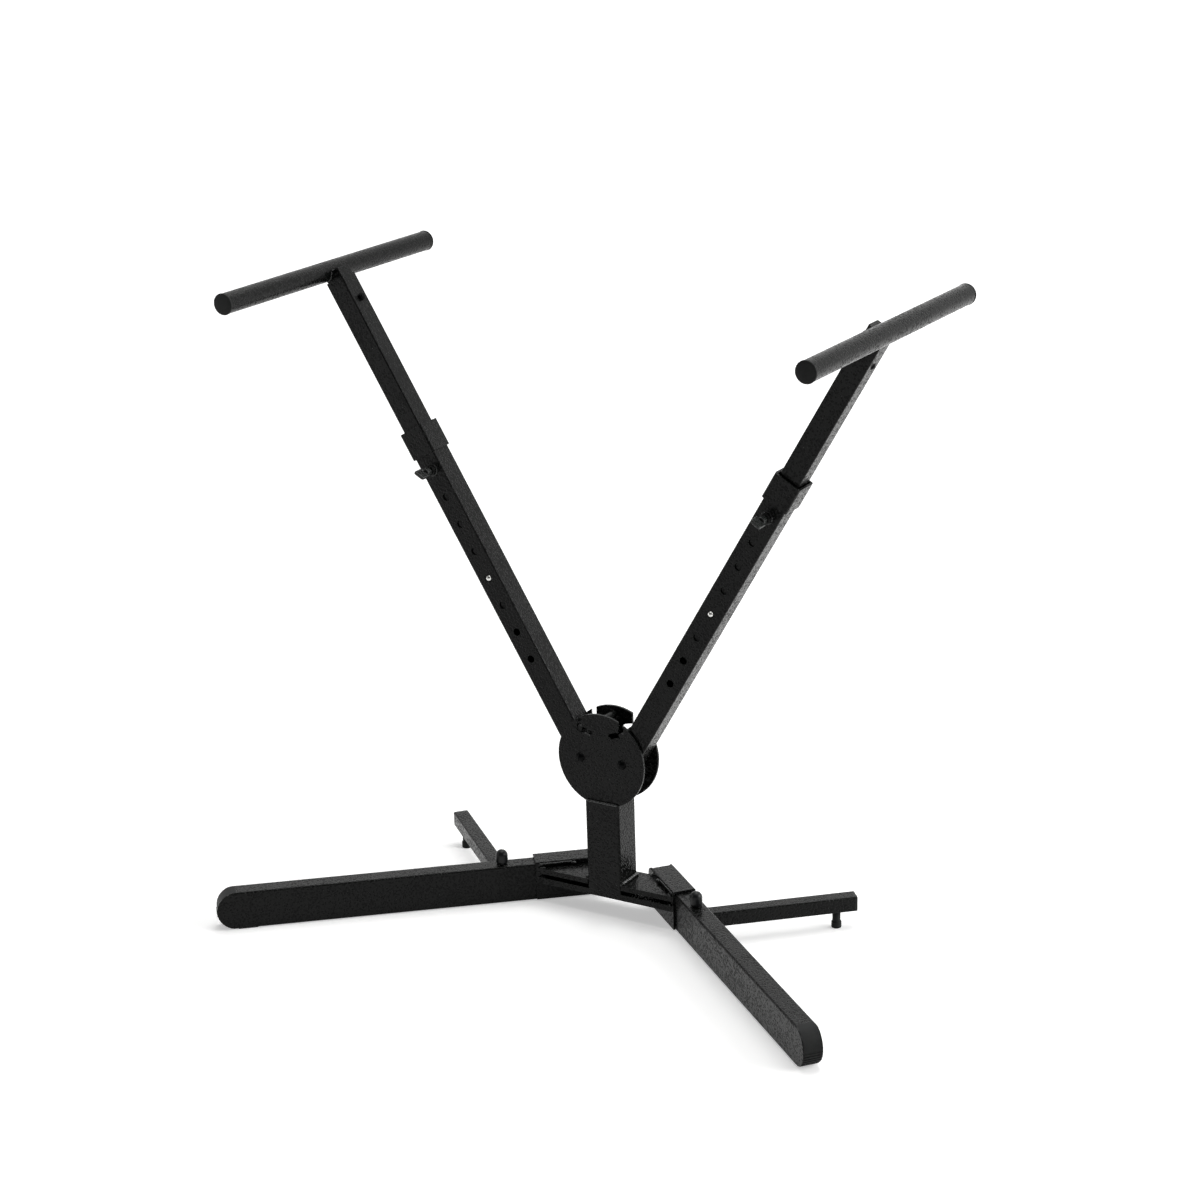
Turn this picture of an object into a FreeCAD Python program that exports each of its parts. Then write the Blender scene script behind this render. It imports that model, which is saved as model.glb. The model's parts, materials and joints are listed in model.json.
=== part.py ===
import FreeCAD, Part
import math
import os

# A portable keyboard stand: a cross foot of four legs, a short square post,
# two round pivot discs, and two telescopic arms that carry the instrument.
# Millimetres. +X is the player's right, +Y points away from the player, +Z is up.
# The origin is on the floor, under the middle of the stand's bounding box.
# Every right-hand piece is modelled once and mirrored in the plane X = 0.

# Whole-stand places
pivot_height = 213.0
pivot_half_spacing = 30.0
arm_lean_deg = 30.5
arm_fold_deg = 22.0
leg_splay_deg = 40.0
leg_apex_behind_post = 82.8
floor_gap = 0.8
cut_overrun = 2.0
weld_gap = 0.05
flat_gap = 0.1

# Post
post_width = 49.0
post_depth = 42.0
post_wall = 1.5
post_corner = 3.0
post_top_above_disc_bottom = 5.0

# Base plates
plates_below_leg_top = 3.8
lower_plate_thickness = 8.0
plate_slot = 6.0
upper_plate_thickness = 7.0
plate_post_clearance = 0.1
plate_behind_post = 6.0

# Pivot discs
disc_radius = 62.0
disc_thickness = 3.0
disc_tongue_depth = 32.0
disc_tongue_clearance = 1.5
spacer_radius = 4.5
spacer_above_pivot = 52.0

# Pivot bolts, washers and sleeves
bolt_radius = 4.0
bolt_head_radius = 6.2
bolt_head_height = 4.2
nut_across_flats = 13.0
nut_height = 6.5
nut_thread_clearance = 0.05
bolt_tail = 2.0
bolt_hole_clearance = 0.1
sleeve_running_clearance = 0.08
sleeve_wall = 2.0
washer_radius = 11.0
washer_thickness = 0.35
washer_side_clearance = 0.05
washer_bore_clearance = 0.2

# Lower arm tube
lower_tube_size = 32.0
lower_tube_wall = 1.5
lower_tube_corner = 2.2
lower_tube_top = 452.0
first_hole_above_pivot = 138.0
hole_pitch = 38.0
hole_count = 7
button_hole_index = 3
height_hole_radius = 5.0

# Stop rod, welded on the inner face of each arm
stop_rod_radius = 3.5
stop_slot_clearance = 0.4
stop_rod_recess = 0.8

# Collar at the top of the lower tube
collar_bottom = 424.0
collar_height = 36.0
collar_wall = 2.5
collar_corner = 3.4
collar_clearance = 0.1

# Clamp boss and wing screw
clamp_above_pivot = 404.0
boss_radius = 7.0
boss_height = 6.0
boss_edge = 0.8
screw_radius = 3.0
screw_running_clearance = 0.08
screw_tip_gap = 0.2
screw_hub_radius = 5.0
screw_hub_gap = 1.0
screw_hub_length = 8.0
wing_start_on_hub = 6.0
wing_length = 17.0
wing_width = 15.2
wing_thickness = 4.2
wing_corner = 2.4
wing_rim = 1.8
wing_dish_depth = 0.9
wing_dish_corner = 1.0
left_wing_turn_deg = 121.0
right_wing_turn_deg = 6.0

# Upper arm tube (riser)
upper_tube_size = 28.0
upper_tube_wall = 1.5
upper_tube_corner = 2.0
upper_tube_bottom_below_button = 47.0
upper_tube_top = 667.0
plug_flange = 8.0
plug_spigot = 12.0
plug_side_clearance = 0.3
plug_fit_clearance = 0.1

# Snap button and its leaf spring
button_radius = 4.2
button_running_clearance = 0.09
button_stick_out = 2.6
button_flange_radius = 5.8
button_flange_thickness = 1.4
spring_strip_thickness = 0.8
spring_strip_width = 9.0
spring_tip_above_button = 8.0
spring_knee_below_button = 7.0
spring_bend_below_button = 28.0
spring_back_leg_top = 4.0

# Support tube and its stub
support_radius = 12.7
support_wall = 1.6
support_reach = 213.0
support_above_pivot = 682.0
support_outboard = 10.5
support_cap_thickness = 3.0
support_cap_spigot = 14.0
support_cap_edge = 1.2
support_cap_overhang = 0.5
support_cap_clearance = 0.1
stub_clearance = 0.2
stub_wall = 2.0
stub_corner = 1.5
stub_bottom = 616.0
stub_top = 678.0
support_bolt_above_pivot = 634.0
support_bolt_radius = 2.5
support_bolt_head_radius = 4.6
support_bolt_head_height = 2.4
support_nut_across_flats = 8.0
support_nut_height = 4.0

# Front leg
leg_width = 25.0
leg_height = 50.0
leg_wall = 1.5
leg_corner = 2.5
leg_hinge_from_apex = 85.0
leg_straight_end_from_apex = 527.0
leg_cap_flat = 25.0
leg_cap_side_clearance = 0.25
leg_cap_plug = 18.0
leg_rib_count = 9
leg_rib_height = 0.8
leg_rib_width = 1.6
leg_rib_first_deg = 12.0
leg_rib_last_deg = 84.0

# Leg bracket
bracket_start_from_apex = 56.0
bracket_end_from_apex = 145.0
bracket_wall = 2.5
bracket_side_clearance = 0.3
bracket_top_clearance = 0.9
bracket_floor_gap = 2.0
bracket_corner_radius = 9.0
bracket_bend_radius = 2.0
hinge_pin_radius = 4.0
hinge_pin_running_clearance = 0.08
hinge_pin_hole_clearance = 0.05
hinge_pin_head_radius = 6.0
hinge_pin_head_thickness = 2.0

# Rear leg
rear_pivot_from_apex = 187.0
rear_leg_angle_deg = 81.5
rear_leg_swing_deg = 66.0
rear_leg_size = 20.0
rear_leg_wall = 1.5
rear_leg_corner = 2.0
rear_leg_below_leg_top = 7.8
rear_leg_length = 206.0
rear_plug_face = 2.5
rear_plug_spigot = 12.0
rear_plug_clearance = 0.2
window_clearance = 0.8
window_end_clearance = 2.0

# Rear leg pivot: welded stud, barrel, spacers and clamp knob
stud_radius = 3.0
stud_hole_clearance = 0.05
barrel_running_clearance = 0.08
barrel_wall = 2.2
spacer_side_clearance = 0.05
knob_radius = 7.8
knob_height = 19.5
knob_waist_radius = 7.0
knob_waist_height = 2.4
knob_seat_gap = 0.3
knob_thread_depth = 12.0

# Rear foot
foot_from_leg_end = 25.0
foot_pad_radius = 6.5
foot_pad_height = 9.0
foot_pad_edge = 1.0
foot_neck_radius = 5.2
foot_home_gap = 0.3
foot_stud_radius = 3.0
foot_stud_length = 16.0
foot_running_clearance = 0.08
foot_nut_across_flats = 10.0
foot_nut_height = 5.0

# Shared numbers
quarter_turn_deg = 90.0
hexagon_sides = 6
full_turn_deg = 360.0
parallel_within_deg = 2.5
mm3_in_cm3 = 1000.0

# Derived places
origin = FreeCAD.Vector(0, 0, 0)
axis_x = FreeCAD.Vector(1, 0, 0)
axis_y = FreeCAD.Vector(0, 1, 0)
axis_z = FreeCAD.Vector(0, 0, 1)
parallel_cosine = math.cos(math.radians(parallel_within_deg))
disc_inner_face = lower_tube_size / 2 + washer_thickness + 2 * washer_side_clearance
disc_outer_face = disc_inner_face + disc_thickness
stop_outboard = -(lower_tube_size / 2 + stop_rod_radius + weld_gap)
stop_radius = -stop_outboard / math.sin(math.radians(arm_lean_deg))
stop_above_pivot = stop_radius * math.cos(math.radians(arm_lean_deg))
stop_slot_half_width = stop_rod_radius + stop_slot_clearance
button_above_pivot = first_hole_above_pivot + button_hole_index * hole_pitch
upper_tube_bottom = button_above_pivot - upper_tube_bottom_below_button
post_top = pivot_height - disc_radius + post_top_above_disc_bottom
leg_middle_height = floor_gap + leg_height / 2
leg_tip_from_apex = leg_straight_end_from_apex + leg_height / 2
leg_top = floor_gap + leg_height
upper_plate_bottom = leg_top - plates_below_leg_top - upper_plate_thickness
lower_plate_top = upper_plate_bottom - plate_slot
lower_plate_bottom = lower_plate_top - lower_plate_thickness
bracket_inner_half = leg_width / 2 + bracket_side_clearance
bracket_outer_half = bracket_inner_half + bracket_wall
bracket_web_bottom = leg_top + bracket_top_clearance
bracket_top = bracket_web_bottom + bracket_wall
rear_leg_top = leg_top - rear_leg_below_leg_top
rear_leg_bottom = rear_leg_top - rear_leg_size
foot_from_pivot = rear_leg_length - foot_from_leg_end
foot_neck_top = rear_leg_bottom - foot_home_gap

# The front-most point is the leg tip's front corner, the rear-most the support tube's end.
splay_sin = math.sin(math.radians(leg_splay_deg))
splay_cos = math.cos(math.radians(leg_splay_deg))
front_reach = leg_tip_from_apex * splay_sin + leg_width / 2 * splay_cos - leg_apex_behind_post
post_y = (front_reach - support_reach) / 2
apex_y = post_y + leg_apex_behind_post


def vec(x, y, z):
    return FreeCAD.Vector(x, y, z)


def block(x_from, x_to, y_from, y_to, z_from, z_to):
    """A box given by its two corners."""
    return Part.makeBox(x_to - x_from, y_to - y_from, z_to - z_from, vec(x_from, y_from, z_from))


def rod(radius, start, end):
    """A round bar between two points."""
    along = end.sub(start)
    return Part.makeCylinder(radius, along.Length, start, along)


def pipe(outer_radius, bore_radius, start, end):
    """A round tube between two points."""
    along = end.sub(start)
    along.normalize()
    spare = along * cut_overrun
    return rod(outer_radius, start, end).cut(rod(bore_radius, start.sub(spare), end.add(spare)))


def upright_edges(shape):
    """The edges that run along Z."""
    return [e for e in shape.Edges
            if abs(e.tangentAt(e.FirstParameter).z) > parallel_cosine]


def square_bar(half_x, half_y, z_from, z_to, corner):
    """A bar of rectangular section with rounded corners, along Z."""
    bar = block(-half_x, half_x, -half_y, half_y, z_from, z_to)
    return bar.makeFillet(corner, upright_edges(bar))


def box_tube(width, depth, wall, corner, z_from, z_to):
    """A tube of rectangular section along Z, centred on the Z axis."""
    half_x, half_y = width / 2, depth / 2
    outside = square_bar(half_x, half_y, z_from, z_to, corner)
    inside = square_bar(half_x - wall, half_y - wall, z_from - cut_overrun, z_to + cut_overrun,
                        corner - wall)
    return outside.cut(inside)


def hexagon(across_flats, start, height, along):
    """A hexagonal nut blank that stands on start."""
    side_deg = full_turn_deg / hexagon_sides
    corner_radius = across_flats / 2 / math.cos(math.radians(side_deg / 2))
    turns = [math.radians(side_deg * i) for i in range(hexagon_sides + 1)]
    points = [vec(corner_radius * math.cos(a), corner_radius * math.sin(a), 0) for a in turns]
    nut = Part.Face(Part.makePolygon(points)).extrude(vec(0, 0, height))
    nut.Placement = FreeCAD.Placement(start, FreeCAD.Rotation(axis_z, along))
    return nut


def dome(radius, height, start, along):
    """A spherical cap of the given base radius and height on start, pointing along."""
    sphere_radius = (radius * radius + height * height) / (2 * height)
    sphere = Part.makeSphere(sphere_radius, vec(0, 0, height - sphere_radius))
    cap = sphere.common(Part.makeCylinder(radius, height))
    cap.Placement = FreeCAD.Placement(start, FreeCAD.Rotation(axis_z, along))
    return cap


def arc_slot(centre_x, centre_z, radius, half_width, from_deg, to_deg, y_from, y_to):
    """A curved slot with round ends. Angles are from straight up towards -X."""

    def at(r, deg):
        a = math.radians(deg)
        return vec(centre_x - r * math.sin(a), y_from, centre_z + r * math.cos(a))

    middle = (from_deg + to_deg) / 2
    end_deg = math.degrees(half_width / radius)
    outer, inner = radius + half_width, radius - half_width
    edges = [
        Part.Arc(at(outer, from_deg), at(outer, middle), at(outer, to_deg)).toShape(),
        Part.Arc(at(outer, to_deg), at(radius, to_deg + end_deg), at(inner, to_deg)).toShape(),
        Part.Arc(at(inner, to_deg), at(inner, middle), at(inner, from_deg)).toShape(),
        Part.Arc(at(inner, from_deg), at(radius, from_deg - end_deg), at(outer, from_deg)).toShape(),
    ]
    return Part.Face(Part.Wire(edges)).extrude(vec(0, y_to - y_from, 0))


def mirrored(shape):
    return shape.mirror(origin, axis_x)


def on_arm(shape):
    """Moves a shape from the arm's own frame (+Z up the arm, +X outboard) to the right arm."""
    moved = shape.copy()
    turn = FreeCAD.Rotation(axis_y, arm_lean_deg)
    moved.Placement = FreeCAD.Placement(vec(pivot_half_spacing, post_y, pivot_height), turn).multiply(
        moved.Placement)
    return moved


def on_leg(shape):
    """Moves a shape from the leg's own frame (+X outwards, +Y to the rear side) to the right leg."""
    moved = shape.copy()
    turn = FreeCAD.Rotation(axis_z, -leg_splay_deg)
    moved.Placement = FreeCAD.Placement(vec(0, apex_y, 0), turn).multiply(moved.Placement)
    return moved


def on_rear_leg(shape):
    """Moves a shape from the rear leg's frame (+X outwards, Z axis on its pivot) to the right leg."""
    moved = shape.copy()
    turn = FreeCAD.Rotation(axis_z, rear_leg_angle_deg)
    moved.Placement = FreeCAD.Placement(vec(rear_pivot_from_apex, 0, 0), turn).multiply(moved.Placement)
    return on_leg(moved)


def save(name, *shapes):
    """Writes one node. Several solids in one node are separate pieces of one kind."""
    solids = [s for shape in shapes for s in shape.Solids]
    for solid in solids:
        if not solid.isValid():
            print("not valid:", name)
    whole = solids[0] if len(solids) == 1 else Part.makeCompound(solids)
    whole.exportStep(os.path.join("parts", name + ".step"))
    box = whole.BoundBox
    print(f"{name}: {len(solids)} solid, {box.XLength:.1f} x {box.YLength:.1f} x {box.ZLength:.1f} mm,"
          f" {whole.Volume / mm3_in_cm3:.1f} cm3")


def save_pair(name, place, *shapes):
    """Writes the right-hand piece and its mirror image."""
    placed = [place(s) for s in shapes]
    save("right_" + name, *placed)
    save("left_" + name, *[mirrored(s) for s in placed])


# Base: post, discs and plates
def make_post():
    tube = box_tube(post_width, post_depth, post_wall, post_corner, lower_plate_top, post_top)
    tube.translate(vec(0, post_y, 0))
    return tube


def make_disc(y_from, y_to):
    """A round plate with a tongue inside the post and two hooked slots for the stop rods."""
    disc = rod(disc_radius, vec(0, y_from, pivot_height), vec(0, y_to, pivot_height))
    below = block(-disc_radius, disc_radius, y_from - cut_overrun, y_to + cut_overrun,
                  pivot_height - disc_radius - cut_overrun, post_top)
    disc = disc.cut(below)
    tongue_half = post_width / 2 - post_wall - disc_tongue_clearance
    tongue = block(-tongue_half, tongue_half, y_from, y_to, post_top - disc_tongue_depth, post_top)
    disc = disc.fuse(tongue).removeSplitter()
    for side in (1, -1):
        stem = block(side * pivot_half_spacing - stop_slot_half_width,
                     side * pivot_half_spacing + stop_slot_half_width,
                     y_from - cut_overrun, y_to + cut_overrun,
                     pivot_height + stop_radius, pivot_height + disc_radius)
        foot = arc_slot(pivot_half_spacing, pivot_height, stop_radius, stop_slot_half_width,
                        0, arm_fold_deg, y_from - cut_overrun, y_to + cut_overrun)
        if side < 0:
            foot = mirrored(foot)
        bolt_hole = rod(bolt_radius + bolt_hole_clearance,
                        vec(side * pivot_half_spacing, y_from - cut_overrun, pivot_height),
                        vec(side * pivot_half_spacing, y_to + cut_overrun, pivot_height))
        disc = disc.cut(stem).cut(foot).cut(bolt_hole)
    disc.translate(vec(0, post_y, 0))
    return disc


def make_pivot_bolt():
    start = vec(pivot_half_spacing, post_y - disc_outer_face, pivot_height)
    tail = vec(pivot_half_spacing, post_y + disc_outer_face + nut_height + bolt_tail, pivot_height)
    return rod(bolt_radius, start, tail).fuse(dome(bolt_head_radius, bolt_head_height, start, -axis_y))


def make_pivot_nut():
    start = vec(pivot_half_spacing, post_y + disc_outer_face, pivot_height)
    end = start + axis_y * nut_height
    bore = rod(bolt_radius + nut_thread_clearance, start - axis_y * cut_overrun, end + axis_y * cut_overrun)
    return hexagon(nut_across_flats, start, nut_height, axis_y).cut(bore)


def bracket_line_x(y_from_post):
    """X of the bracket's inner wall face at a distance behind the post's middle."""
    across = -bracket_outer_half
    along = (leg_apex_behind_post - y_from_post + across * splay_cos) / splay_sin
    return along * splay_cos + across * splay_sin


def make_plate(z_from, z_to, post_passes):
    """A flat plate between the brackets, flush with the front of the post."""
    front = -post_depth / 2
    back = post_depth / 2 + plate_behind_post
    outer_corner = bracket_line_x(front)
    inner_corner = bracket_line_x(back)
    points = [vec(-outer_corner, front, z_from), vec(outer_corner, front, z_from),
              vec(inner_corner, back, z_from), vec(-inner_corner, back, z_from)]
    plate = Part.Face(Part.makePolygon(points + points[:1])).extrude(vec(0, 0, z_to - z_from))
    if post_passes:
        half_x = post_width / 2 + plate_post_clearance
        half_y = post_depth / 2 + plate_post_clearance
        plate = plate.cut(block(-half_x, half_x, -half_y, 0, z_from - cut_overrun, z_to + cut_overrun))
        plate = plate.cut(square_bar(half_x, half_y, z_from - cut_overrun, z_to + cut_overrun,
                                     post_corner))
    plate.translate(vec(0, post_y, 0))
    return plate


# Arms
def make_lower_tube():
    half = lower_tube_size / 2
    outside = square_bar(half, half, 0, lower_tube_top, lower_tube_corner)
    outside = outside.fuse(rod(half, vec(0, -half, 0), vec(0, half, 0)))
    inner_half = half - lower_tube_wall
    inside = square_bar(inner_half, inner_half, -half - cut_overrun, lower_tube_top + cut_overrun,
                        lower_tube_corner - lower_tube_wall)
    tube = outside.cut(inside)
    sleeve_hole = bolt_radius + sleeve_running_clearance + sleeve_wall + weld_gap
    tube = tube.cut(rod(sleeve_hole, vec(0, -half - cut_overrun, 0), vec(0, half + cut_overrun, 0)))
    for i in range(hole_count):
        height = first_hole_above_pivot + i * hole_pitch
        tube = tube.cut(rod(height_hole_radius, vec(0, -half - cut_overrun, height), vec(0, 0, height)))
    clamp_hole = screw_radius + screw_running_clearance
    tube = tube.cut(rod(clamp_hole, vec(0, -half - cut_overrun, clamp_above_pivot),
                        vec(0, 0, clamp_above_pivot)))
    return tube


def make_pivot_sleeve():
    bore = bolt_radius + sleeve_running_clearance
    half = lower_tube_size / 2
    return pipe(bore + sleeve_wall, bore, vec(0, -half, 0), vec(0, half, 0))


def make_pivot_washers():
    near = lower_tube_size / 2 + washer_side_clearance
    bore = bolt_radius + washer_bore_clearance
    return [pipe(washer_radius, bore, vec(0, side * near, 0), vec(0, side * (near + washer_thickness), 0))
            for side in (-1, 1)]


def make_stop_rod():
    half = disc_outer_face - stop_rod_recess
    return rod(stop_rod_radius, vec(stop_outboard, -half, stop_above_pivot),
               vec(stop_outboard, half, stop_above_pivot))


def make_collar():
    inner_half = lower_tube_size / 2 + collar_clearance
    outer_half = inner_half + collar_wall
    top = collar_bottom + collar_height
    outside = square_bar(outer_half, outer_half, collar_bottom, top, collar_corner)
    inside = square_bar(inner_half, inner_half, collar_bottom - cut_overrun, top + cut_overrun,
                        collar_corner - collar_wall)
    return outside.cut(inside)


def make_clamp_boss():
    face = -lower_tube_size / 2
    start = vec(0, face, clamp_above_pivot)
    end = vec(0, face - boss_height, clamp_above_pivot)
    boss = rod(boss_radius, start, end)
    rim = [e for e in boss.Edges if abs(e.CenterOfMass.y - end.y) < boss_edge and len(e.Vertexes) == 1]
    boss = boss.makeChamfer(boss_edge, rim)
    bore = screw_radius + screw_running_clearance
    return boss.cut(rod(bore, start + axis_y * cut_overrun, end - axis_y * cut_overrun))


def make_wing_screw(turn_deg):
    """A thumb screw along -Y; its one flat wing is dished on both faces and turned with it."""
    tip = -upper_tube_size / 2 - screw_tip_gap
    hub_near = -lower_tube_size / 2 - boss_height - screw_hub_gap
    wing_near = hub_near - wing_start_on_hub
    wing_far = wing_near - wing_length
    screw = rod(screw_radius, vec(0, tip, 0), vec(0, hub_near, 0))
    screw = screw.fuse(rod(screw_hub_radius, vec(0, hub_near, 0), vec(0, hub_near - screw_hub_length, 0)))
    half, half_thick = wing_width / 2, wing_thickness / 2
    wing = block(-half, half, wing_far, wing_near, -half_thick, half_thick)
    wing = wing.makeFillet(wing_corner, upright_edges(wing))
    screw = screw.fuse(wing)
    dish_near = hub_near - screw_hub_length - wing_rim / 2
    for z_from in (-half_thick - cut_overrun, half_thick - wing_dish_depth):
        dish = block(wing_rim - half, half - wing_rim, wing_far + wing_rim, dish_near,
                     z_from, z_from + cut_overrun + wing_dish_depth)
        screw = screw.cut(dish.makeFillet(wing_dish_corner, upright_edges(dish)))
    screw.rotate(origin, axis_y, turn_deg)
    screw.translate(vec(0, 0, clamp_above_pivot))
    return screw.removeSplitter()


# Risers
def make_upper_tube():
    tube = box_tube(upper_tube_size, upper_tube_size, upper_tube_wall, upper_tube_corner,
                    upper_tube_bottom, upper_tube_top)
    half = upper_tube_size / 2
    tube = tube.cut(rod(button_radius + button_running_clearance,
                        vec(0, -half - cut_overrun, button_above_pivot), vec(0, 0, button_above_pivot)))
    bolt_hole = support_bolt_radius + bolt_hole_clearance
    return tube.cut(rod(bolt_hole, vec(-half - cut_overrun, 0, support_bolt_above_pivot),
                        vec(half + cut_overrun, 0, support_bolt_above_pivot)))


def make_riser_plug():
    flange_half = lower_tube_size / 2 - lower_tube_wall - plug_side_clearance
    spigot_half = upper_tube_size / 2 - upper_tube_wall - plug_fit_clearance
    flange = square_bar(flange_half, flange_half, upper_tube_bottom - plug_flange, upper_tube_bottom,
                        lower_tube_corner - lower_tube_wall)
    spigot = square_bar(spigot_half, spigot_half, upper_tube_bottom - plug_flange,
                        upper_tube_bottom + plug_spigot, upper_tube_corner - upper_tube_wall)
    return flange.fuse(spigot).removeSplitter()


def make_snap_button():
    tip = -lower_tube_size / 2 - button_stick_out
    shoulder = tip + button_radius
    flange_front = -upper_tube_size / 2 + upper_tube_wall + flat_gap
    flange_back = flange_front + button_flange_thickness
    body = rod(button_radius, vec(0, shoulder, 0), vec(0, flange_back, 0))
    flange = rod(button_flange_radius, vec(0, flange_front, 0), vec(0, flange_back, 0))
    nose = Part.makeSphere(button_radius, vec(0, shoulder, 0), -axis_y, 0, quarter_turn_deg)
    button = body.fuse(flange).fuse(nose).removeSplitter()
    button.translate(vec(0, 0, button_above_pivot))
    return button


def make_button_spring():
    """A bent leaf: the front leg bears on the button, the back leg on the tube's back wall."""
    front = (-upper_tube_size / 2 + upper_tube_wall + flat_gap + button_flange_thickness
             + flat_gap + spring_strip_thickness / 2)
    back = upper_tube_size / 2 - upper_tube_wall - flat_gap - spring_strip_thickness / 2
    bend_z = button_above_pivot - spring_bend_below_button
    centre = [(front, button_above_pivot + spring_tip_above_button),
              (front, button_above_pivot - spring_knee_below_button),
              (back - spring_back_leg_top, bend_z),
              (back, bend_z + spring_back_leg_top),
              (back, button_above_pivot + spring_back_leg_top)]
    sides = ([], [])
    for i, (y, z) in enumerate(centre):
        y_before, z_before = centre[max(i - 1, 0)]
        y_after, z_after = centre[min(i + 1, len(centre) - 1)]
        along = vec(0, y_after - y_before, z_after - z_before)
        along.normalize()
        step = vec(0, -along.z, along.y) * (spring_strip_thickness / 2)
        half = spring_strip_width / 2
        sides[0].append(vec(-half, y, z) + step)
        sides[1].append(vec(-half, y, z) - step)
    outline = sides[0] + sides[1][::-1]
    return Part.Face(Part.makePolygon(outline + outline[:1])).extrude(vec(spring_strip_width, 0, 0))


def make_support():
    """The round support tube, welded across a square stub that plugs into the riser."""
    end = support_reach - support_cap_thickness
    axis_at = vec(support_outboard, 0, support_above_pivot)
    tube = rod(support_radius, axis_at - axis_y * end, axis_at + axis_y * end)
    stub_half = upper_tube_size / 2 - upper_tube_wall - stub_clearance
    stub = square_bar(stub_half, stub_half, stub_bottom, stub_top, stub_corner)
    bore = square_bar(stub_half - stub_wall, stub_half - stub_wall, stub_bottom - cut_overrun,
                      stub_top - stub_wall, stub_wall)
    bolt_hole = support_bolt_radius + bolt_hole_clearance
    stub = stub.cut(bore).cut(rod(bolt_hole, vec(-upper_tube_size, 0, support_bolt_above_pivot),
                                  vec(upper_tube_size, 0, support_bolt_above_pivot)))
    whole = tube.fuse(stub)
    hollow = rod(support_radius - support_wall, axis_at - axis_y * support_reach,
                 axis_at + axis_y * support_reach)
    return whole.cut(hollow)


def make_support_caps():
    caps = []
    for side in (-1, 1):
        face = vec(support_outboard, side * support_reach, support_above_pivot)
        seat = face - axis_y * (side * support_cap_thickness)
        inner_end = seat - axis_y * (side * support_cap_spigot)
        cap = rod(support_radius + support_cap_overhang, seat, face)
        rim = [e for e in cap.Edges if abs(e.CenterOfMass.y - face.y) < support_cap_edge / 2
               and len(e.Vertexes) == 1]
        cap = cap.makeFillet(support_cap_edge, rim)
        spigot = rod(support_radius - support_wall - support_cap_clearance, inner_end, seat)
        caps.append(cap.fuse(spigot).removeSplitter())
    return caps


def make_support_bolt():
    half = upper_tube_size / 2
    head_seat = vec(half, 0, support_bolt_above_pivot)
    tail = vec(-half - support_nut_height - bolt_tail / 2, 0, support_bolt_above_pivot)
    return rod(support_bolt_radius, tail, head_seat).fuse(
        dome(support_bolt_head_radius, support_bolt_head_height, head_seat, axis_x))


def make_support_nut():
    start = vec(-upper_tube_size / 2, 0, support_bolt_above_pivot)
    bore = rod(support_bolt_radius + nut_thread_clearance, start + axis_x * cut_overrun,
               start - axis_x * (support_nut_height + cut_overrun))
    return hexagon(support_nut_across_flats, start, support_nut_height, -axis_x).cut(bore)


# Front legs
def leg_side_profile(from_x, to_x, middle_z, radius, half_width):
    """A long plate with two round ends, lying along X; Y is its thickness."""
    body = block(from_x, to_x, -half_width, half_width, middle_z - radius, middle_z + radius)
    for x in (from_x, to_x):
        body = body.fuse(rod(radius, vec(x, -half_width, middle_z), vec(x, half_width, middle_z)))
    return body.removeSplitter()


def rear_leg_edge_at(angle_deg, across, side):
    """Distance along the front leg at which the rear leg's edge passes a wall, from its pivot."""
    a = math.radians(angle_deg)
    return (across * math.cos(a) + side * rear_leg_size / 2) / math.sin(a)


def make_leg_tube():
    half = leg_width / 2
    bar = square_bar(leg_height / 2, half, 0, leg_tip_from_apex, leg_corner)
    bar.rotate(origin, axis_y, quarter_turn_deg)
    bar.translate(vec(0, 0, leg_middle_height))
    outside = bar.common(leg_side_profile(leg_hinge_from_apex, leg_straight_end_from_apex,
                                          leg_middle_height, leg_height / 2, half))
    inner_half = half - leg_wall
    hollow = block(leg_hinge_from_apex - leg_height, leg_straight_end_from_apex + leg_height,
                   -inner_half, inner_half, floor_gap + leg_wall, leg_top - leg_wall)
    tube = outside.cut(hollow)
    # The end walls are cut away between the side walls, so the rounded ends stay open.
    inner_end = block(leg_hinge_from_apex - leg_height, leg_hinge_from_apex, -inner_half, inner_half,
                      0, leg_top + cut_overrun)
    outer_end = block(leg_straight_end_from_apex, leg_tip_from_apex + leg_height, -inner_half, inner_half,
                      0, leg_top + cut_overrun)
    under_end = block(leg_straight_end_from_apex - leg_cap_flat, leg_tip_from_apex, -inner_half, inner_half,
                      0, leg_middle_height)
    tube = tube.cut(inner_end).cut(outer_end).cut(under_end)
    pin_hole = rod(hinge_pin_radius + hinge_pin_running_clearance,
                   vec(leg_hinge_from_apex, -leg_width, leg_middle_height),
                   vec(leg_hinge_from_apex, leg_width, leg_middle_height))
    open_deg = rear_leg_angle_deg
    closed_deg = rear_leg_angle_deg - rear_leg_swing_deg
    window_from = rear_pivot_from_apex + rear_leg_edge_at(open_deg, half, -1) - window_end_clearance
    window_to = rear_pivot_from_apex + rear_leg_edge_at(closed_deg, half, 1) + window_end_clearance
    window = block(window_from, window_to, 0, leg_width,
                   rear_leg_bottom - window_clearance, rear_leg_top + window_clearance)
    stud_hole = rod(stud_radius + stud_hole_clearance, vec(rear_pivot_from_apex, 0, 0),
                    vec(rear_pivot_from_apex, 0, 2 * leg_height))
    return tube.cut(pin_hole).cut(window).cut(stud_hole)


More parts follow.
